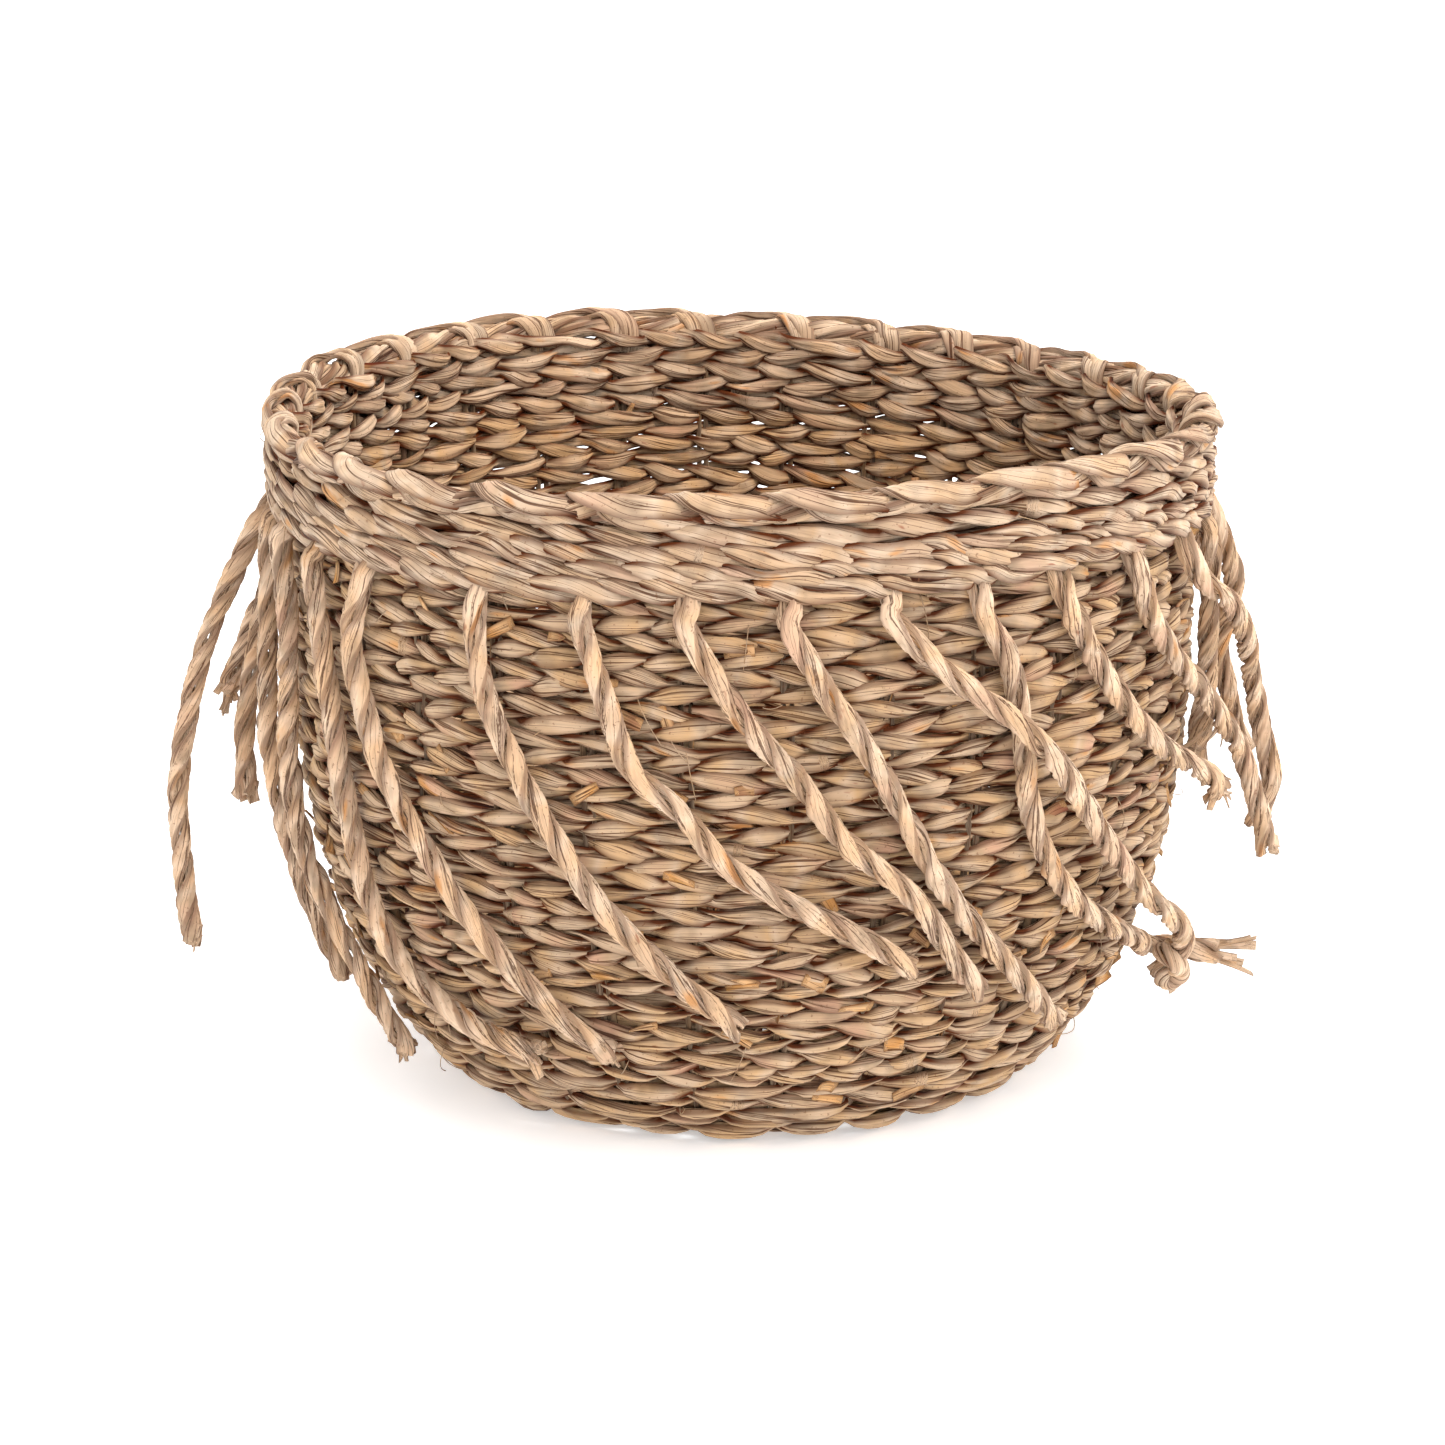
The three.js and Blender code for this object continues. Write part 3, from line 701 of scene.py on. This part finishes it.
FOLD_PLACES = np.array([[-2.5, -3.2, -8.0], [-2.2, -4.3, -2.6], [-0.8, -3.4, 1.4], [2.6, 0.0, 3.3],
                        [8, 3.1, 2.1], [15, 4.2, 0.6], [23, 3.9, -0.4], [30, 1.8, -1.4], [36, -1.2, -3.0]])
fold_section = section("fold_section", 3.3, 1.5, CREASES[2])
fold_strands = []
for k in range(STAKE_PAIRS):
    at = 2 * math.pi * (k + 0.4 + rng.normal(0, 0.07)) / STAKE_PAIRS
    places = FOLD_PLACES * [rng.uniform(0.9, 1.1), rng.uniform(0.95, 1.1), rng.uniform(0.8, 1.15)]
    for j in range(2):
        beside = np.clip((places[:, 0] - 2) / 9, 0, 1)
        line = places + np.column_stack([(1 - beside) * (4.2 * j - 1.5), np.full(len(places), -0.3 * j),
                                         beside * (1.2 - 3.4 * j)])
        line = line + rng.normal(0, 0.3, line.shape)
        turn = at + line[:, 0] / border_radius
        line_mm, _ = smooth_route(list(ring_points(border_radius + line[:, 1], turn, border_height
                                                   + line[:, 2] + rim_sway(turn, BORDER_TOP))), 1.7)
        around = np.arctan2(line_mm[:, 0], -line_mm[:, 1])
        off = np.hypot(line_mm[:, 0], line_mm[:, 1]) - border_radius + 0.3
        over = line_mm[:, 2] - border_height + 1.5 - rim_sway(around, BORDER_TOP)
        face = np.column_stack([off * np.sin(around), -off * np.cos(around), over])
        face /= np.linalg.norm(face, axis=1)[:, None] + 1e-9
        reach = np.linspace(0, 1, len(line_mm))
        # tuck grows over the last part of each fold, where it goes in behind the next pair, and darkens it
        # there as painted shade.
        fold_strands.append({"points": line_mm, "face": face,
                             "width": (1.0 if j == 0 else 0.78) * rng.uniform(0.92, 1.1)
                             * (0.86 + 0.2 * np.sin(math.pi * np.clip(reach, 0, 0.95))),
                             "tuck": np.clip(2.2 * reach - 1.2, 0, 1) ** 2,
                             "tilt": smooth_noise(rng, len(line_mm), 6, 0.18, False)})
folds = lay_strands("border_folds", fold_strands, fold_section, 73)
for piece in (border, folds):
    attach(piece, "root")
    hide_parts("rim_border")
print(len(fold_strands), "strands in", STAKE_PAIRS, "folds")

# %% [markdown]
# ## Stakes
#
# The stakes only show in the chinks of the weave and across the middle of the base.
# Each pair is two round stalks side by side. Every fifth pair starts at the middle, and
# the others are put in where the base widens.

# %%
stake_section = section("stake_section", 1.25, 0.95, [(0.2, 0.15, 0.3)], points=8)
STAKE_STARTS = (0.5, 31, 53)  # how far from the middle of the base a pair begins
wall_heights = np.linspace(0, 196, 44)
stake_strands = []
for k in range(STAKE_PAIRS):
    at = 2 * math.pi * k / STAKE_PAIRS + math.radians(5.5)
    begin = STAKE_STARTS[0 if k % 5 == 0 else 1 if k % 2 == 0 else 2]
    flat = [(r, BASE_MIDDLE) for r in np.arange(begin, 88, 8)]
    climb = [wall_at_height(h)[:2] for h in wall_heights[2:]]
    line = np.array(flat + climb)
    for side in (-1.5, 1.5):
        sink = side if begin > 1 else side * 0.8
        across = sink / np.maximum(line[:, 0], 12)
        turn = at + across
        z = line[:, 1] + rim_sway(turn, line[:, 1])
        stake_strands.append({
            "points": ring_points(line[:, 0], turn, z),
            "width": 1.0, "tilt": 0.0})
stakes = lay_strands("stakes", stake_strands, stake_section, 74)
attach(stakes, "root")
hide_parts("stake_cage")
print(len(stake_strands), "stakes")

# %% [markdown]
# ## Ends of strands in the weave
#
# A leaf is shorter than a row, so strands end and begin in the wall. The ends are
# clipped, and stick out a few millimetres here and there. A few thin fibres have
# sprung loose as well.

# %%
SPLICE_COUNT = 170
FIBRE_COUNT = 150
rng = np.random.default_rng(81)
clipped_section = section("clipped_section", 1.8, 0.32, [(0.3, 0.5, 0.5), (3.4, 0.4, 0.6)],
                          points=10, wobble=0.12)
splices = []
for _ in range(SPLICE_COUNT):
    at = rng.uniform(0, 2 * math.pi)
    inward = rng.random() < 0.25
    height = rng.uniform(16, 182)
    radius, z, out_r, out_z = wall_at_height(height)
    side = -1 if inward else 1
    size = rng.uniform(5, 11)
    t = np.linspace(0, 1, 6)
    heading = rng.choice([0, math.pi]) + rng.normal(0, 0.7)
    out = side * (2.8 + (0.8 + rng.uniform(0.3, 2.6) * t) * t)
    up = rng.normal(0, 1.2) + size * math.sin(heading) * t
    along = at + size * math.cos(heading) * t / radius
    r = radius + out * out_r - up * out_z
    zz = z + out * out_z + up * out_r + rim_sway(at, z)
    splices.append({"points": ring_points(r, along, zz),
                    "width": rng.uniform(0.8, 1.6) * np.linspace(1.1, 0.75, 6),
                    "face": side * ring_points(out_r, along, out_z),
                    "tilt": rng.uniform(-0.4, 0.4) + 0.4 * rng.normal() * t})
splice_ends = lay_strands("splice_ends", splices, clipped_section, 82)

fibre_section = section("fibre_section", 0.16, 0.13, [], points=5, wobble=0)
fibres = []
for _ in range(FIBRE_COUNT):
    at = rng.uniform(0, 2 * math.pi)
    height = rng.uniform(10, 206)
    radius, z, out_r, out_z = wall_at_height(height)
    extra = 6.0 if height > BAND_BOTTOM else 0.0
    size = rng.uniform(5, 15)
    t = np.linspace(0, 1, 9)
    heading = rng.uniform(0, 2 * math.pi)
    out = 3.0 + extra + (rng.uniform(0.5, 4.0) * np.sin(math.pi * t * rng.uniform(0.5, 1.0)))
    up = size * math.sin(heading) * t + rng.normal(0, 1.5) * t**2
    along = at + size * math.cos(heading) * t / radius
    r = radius + out * out_r - up * out_z
    zz = np.maximum(z + out * out_z + up * out_r + rim_sway(at, z), 0.6)
    fibres.append({"points": ring_points(r, along, zz)})
loose_fibres = lay_strands("loose_fibres", fibres, fibre_section, 83)
for piece in (splice_ends, loose_fibres):
    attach(piece, "root")
print(len(splices), "splice ends,", len(fibres), "fibres")

# %% [markdown]
# ## Seagrass material
# Dried seagrass runs from grey-green beige through straw to pinkish tan, with some
# orange and red-brown leaves. Fine lines and darker creases follow the leaf, and dust
# and bark specks lie on it. The colours change along each strand, because one leaf
# follows another, so all of them are read from the "grain" attribute. On top of them,
# each strand is darkened to a saturated brown at its sides and where it tucks under
# another: this is painted shade, read from the second attribute of the strands.

# %%
def srgb(r, g, b):
    """A colour of 0 to 255 as the linear values a shader takes."""
    return tuple(c / 12.92 if c <= 0.04045 else ((c + 0.055) / 1.055) ** 2.4
                 for c in (r / 255, g / 255, b / 255)) + (1.0,)


def seagrass(name, beige, straw, pink, pale, fold_from=0.48, crease=0.9, fine=1.15):
    """A seagrass finish in four leaf colours, with painted shade at the sides of the strands and where they
    tuck under. Thicker strands take finer lines.
    """
    material = bpy.data.materials.new(name)
    material.use_nodes = True
    tree = material.node_tree
    nodes, links = tree.nodes, tree.links
    shader = nodes["Principled BSDF"]
    grain = nodes.new("ShaderNodeAttribute")
    grain.attribute_name = "grain"

    def scaled(x, y, z):
        node = nodes.new("ShaderNodeMapping")
        node.inputs["Scale"].default_value = (x, y, z)
        links.new(grain.outputs["Vector"], node.inputs["Vector"])
        return node.outputs["Vector"]

    def noise(vector, scale, detail=2.0, rough=0.5):
        node = nodes.new("ShaderNodeTexNoise")
        node.inputs["Scale"].default_value = scale
        node.inputs["Detail"].default_value = detail
        node.inputs["Roughness"].default_value = rough
        links.new(vector, node.inputs["Vector"])
        return node.outputs["Fac"]

    def ramp(factor, *stops):
        node = nodes.new("ShaderNodeValToRGB")
        while len(node.color_ramp.elements) < len(stops):
            node.color_ramp.elements.new(0.5)
        for element, (place, colour) in zip(node.color_ramp.elements, stops):
            element.position = place
            element.color = colour
        links.new(factor, node.inputs["Fac"])
        return node.outputs["Color"]

    def mix(kind, factor, first, second):
        node = nodes.new("ShaderNodeMix")
        node.data_type = "RGBA"
        node.blend_type = kind
        for socket, value in zip((node.inputs[0], node.inputs[6], node.inputs[7]), (factor, first, second)):
            if hasattr(value, "is_linked"):
                links.new(value, socket)
            else:
                socket.default_value = value
        return node.outputs[2]

    def grey(v):
        return (v, v, v, 1.0)

    leaf = noise(scaled(0.10, 0.10, 0.50), 1.0, 1.0)
    colour = ramp(leaf, (0.30, beige), (0.42, straw), (0.52, pale), (0.60, beige), (0.72, pink))
    tone = noise(scaled(0.25, 0.25, 0.8), 1.5, 2.0)
    shade = ramp(tone, (0.30, grey(0.72)), (0.48, grey(0.97)), (0.70, grey(1.03)))
    colour = mix("MULTIPLY", 1.0, colour, shade)
    orange = ramp(noise(scaled(0.3, 0.3, 0.42), 1.3, 2.0), (0.645, grey(0.0)), (0.73, grey(0.8)))
    colour = mix("MIX", orange, colour, srgb(204, 146, 86))
    rust = ramp(noise(scaled(0.6, 0.6, 0.9), 1.7, 2.0), (0.69, grey(0.0)), (0.78, grey(0.7)))
    colour = mix("MIX", rust, colour, srgb(150, 84, 56))
    streak = noise(scaled(1.9 * fine, 1.9 * fine, 0.12), 1.8, 3.0, 0.55)
    shade = ramp(streak, (0.32, grey(0.84)), (0.52, grey(0.99)), (0.75, grey(1.02)))
    colour = mix("MULTIPLY", 1.0, colour, shade)
    lines = noise(scaled(fine, fine, 0.07), 1.3, 1.2, 0.5)
    groove = ramp(lines, (0.470, grey(0.0)), (0.493, grey(1.0)), (0.507, grey(1.0)),
                  (0.530, grey(0.0)))
    groove_part = nodes.new("ShaderNodeMath")
    groove_part.operation = "MULTIPLY"
    links.new(groove, groove_part.inputs[0])
    groove_part.inputs[1].default_value = crease
    colour = mix("MIX", groove_part.outputs[0], colour, srgb(84, 48, 27))
    # Painted shade: the colour is darkened to a saturated brown towards the sides of each strand and where
    # it tucks under another.
    fold = nodes.new("ShaderNodeAttribute")
    fold.attribute_name = "fold"
    shade = ramp(fold.outputs["Fac"], (fold_from, grey(1.0)), (1.0, srgb(118, 68, 34)))
    colour = mix("MULTIPLY", 1.0, colour, shade)
    coordinates = nodes.new("ShaderNodeTexCoord")
    speck = ramp(noise(coordinates.outputs["Object"], 900.0, 1.0), (0.68, grey(0.0)), (0.73, grey(0.5)))
    colour = mix("MIX", speck, colour, srgb(120, 76, 50))
    links.new(colour, shader.inputs["Base Color"])

    rough = nodes.new("ShaderNodeMapRange")
    rough.inputs["To Min"].default_value = 0.60
    rough.inputs["To Max"].default_value = 0.85
    links.new(streak, rough.inputs["Value"])
    links.new(rough.outputs["Result"], shader.inputs["Roughness"])
    shader.inputs["Specular IOR Level"].default_value = 0.15
    shader.inputs["Diffuse Roughness"].default_value = 1.0

    height = nodes.new("ShaderNodeMath")
    height.operation = "MULTIPLY_ADD"
    links.new(groove, height.inputs[0])
    height.inputs[1].default_value = -0.9
    links.new(streak, height.inputs[2])
    bump = nodes.new("ShaderNodeBump")
    bump.inputs["Strength"].default_value = 0.55
    bump.inputs["Distance"].default_value = 0.0007
    links.new(height.outputs[0], bump.inputs["Height"])
    links.new(bump.outputs["Normal"], shader.inputs["Normal"])
    return material


LEAVES = {"beige": (197, 166, 133), "straw": (203, 167, 125),
          "pink": (201, 160, 131), "pale": (207, 180, 151)}
UPPER_LEAVES = {"beige": (197, 169, 141), "straw": (206, 174, 140),
                "pink": (202, 169, 143), "pale": (213, 189, 164)}
CLIPPED = {"beige": (194, 152, 108), "straw": (208, 152, 88),
           "pink": (178, 112, 86), "pale": (216, 176, 130)}


def grass_of(name, lighter, leaves=LEAVES, **more):
    """A seagrass finish whose leaf colours are the common ones, made lighter or darker."""
    colours = {key: srgb(*(min(255, c * lighter) for c in value)) for key, value in leaves.items()}
    return seagrass(name, **colours, **more)


WALL_GRASS = grass_of("wall_seagrass", 1.0)
BAND_GRASS = grass_of("band_seagrass", 0.99, UPPER_LEAVES)
BORDER_GRASS = grass_of("border_seagrass", 0.99, UPPER_LEAVES, fold_from=0.55, fine=1.5)
BASE_GRASS = grass_of("base_seagrass", 0.97)
# The stakes get the leaf colours at 0.7: painted shade, so that the chinks of the weave where they show
# read dark.
STAKE_PAINTED_SHADE_GRASS = grass_of("stake_painted_shade_seagrass", 0.7)
CORD_GRASS = grass_of("cord_seagrass", 1.08, UPPER_LEAVES, fold_from=0.58, crease=0.85, fine=1.4)
CLIPPED_GRASS = grass_of("clipped_seagrass", 1.0, CLIPPED)
finished = 0
for finish, pieces in ((WALL_GRASS, [*rows, loose_fibres]),
                       (CLIPPED_GRASS, [splice_ends]),
                       (BAND_GRASS, bands),
                       (BORDER_GRASS, [border, folds]),
                       (BASE_GRASS, base_rows),
                       (STAKE_PAINTED_SHADE_GRASS, [stakes]),
                       (CORD_GRASS, [knot, *cord_ends, *[c["piece"] for c in cords]])):
    for piece in pieces:
        piece.data.materials.append(finish)
        finished += 1
print("materials on", finished, "pieces")

# %% [markdown]
# ## Floor and light
#
# A wide white floor, soft white light from all round, one large soft lamp in front, a
# little to the right and above the rim, and one overhead. A narrow warm lamp is added
# to lift the back of the inside and the border above it, which come out too dark
# without it.

# %%
floor_mesh = bpy.data.meshes.new("floor")
grower = bmesh.new()
bmesh.ops.create_grid(grower, x_segments=1, y_segments=1, size=14)
grower.to_mesh(floor_mesh)
grower.free()
floor = bpy.data.objects.new("floor", floor_mesh)
bpy.context.collection.objects.link(floor)
floor_paint = bpy.data.materials.new("floor_white")
floor_paint.use_nodes = True
floor_shader = floor_paint.node_tree.nodes["Principled BSDF"]
floor_shader.inputs["Base Color"].default_value = (0.92, 0.92, 0.92, 1)
floor_shader.inputs["Roughness"].default_value = 0.9
floor_shader.inputs["Emission Color"].default_value = (1, 1, 1, 1)
floor_shader.inputs["Emission Strength"].default_value = 0.4
floor_mesh.materials.append(floor_paint)
floor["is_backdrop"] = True

world = bpy.data.worlds.new("studio")
bpy.context.scene.world = world
world.use_nodes = True
sky = world.node_tree.nodes["Background"]
sky.inputs["Color"].default_value = (1, 1, 1, 1)
sky.inputs["Strength"].default_value = 1.15


def lamp(name, kind, place, aim, power):
    """A lamp at a place, turned to an aim, both in metres. Gives its data to finish."""
    data = bpy.data.lights.new(name, kind)
    data.energy = power
    holder = bpy.data.objects.new(name, data)
    holder.location = place
    holder.rotation_euler = (Vector(aim) - Vector(place)).to_track_quat("-Z", "Y").to_euler()
    bpy.context.collection.objects.link(holder)
    return data


MIDDLE = (0, 0, 0.1)
lamp("key_lamp", "AREA", (1.2, -1.8, 1.8), MIDDLE, 32).size = 2.2
lamp("top_lamp", "AREA", (0.3, 0.1, 2.4), MIDDLE, 40).size = 1.8
inside_lamp = lamp("inside_lamp", "SPOT", (0.35, -0.9, 1.5), (-0.04, 0.125, 0.13), 80)
inside_lamp.color = (1.0, 0.78, 0.52)
inside_lamp.spot_size = math.radians(10.5)
inside_lamp.spot_blend = 0.6
inside_lamp.shadow_soft_size = 0.15
bpy.context.scene.view_settings.view_transform = "Standard"

# %%
low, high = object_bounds()
print("visual box, mm:", [round(1000 * x, 1) for x in (*low, *high)])
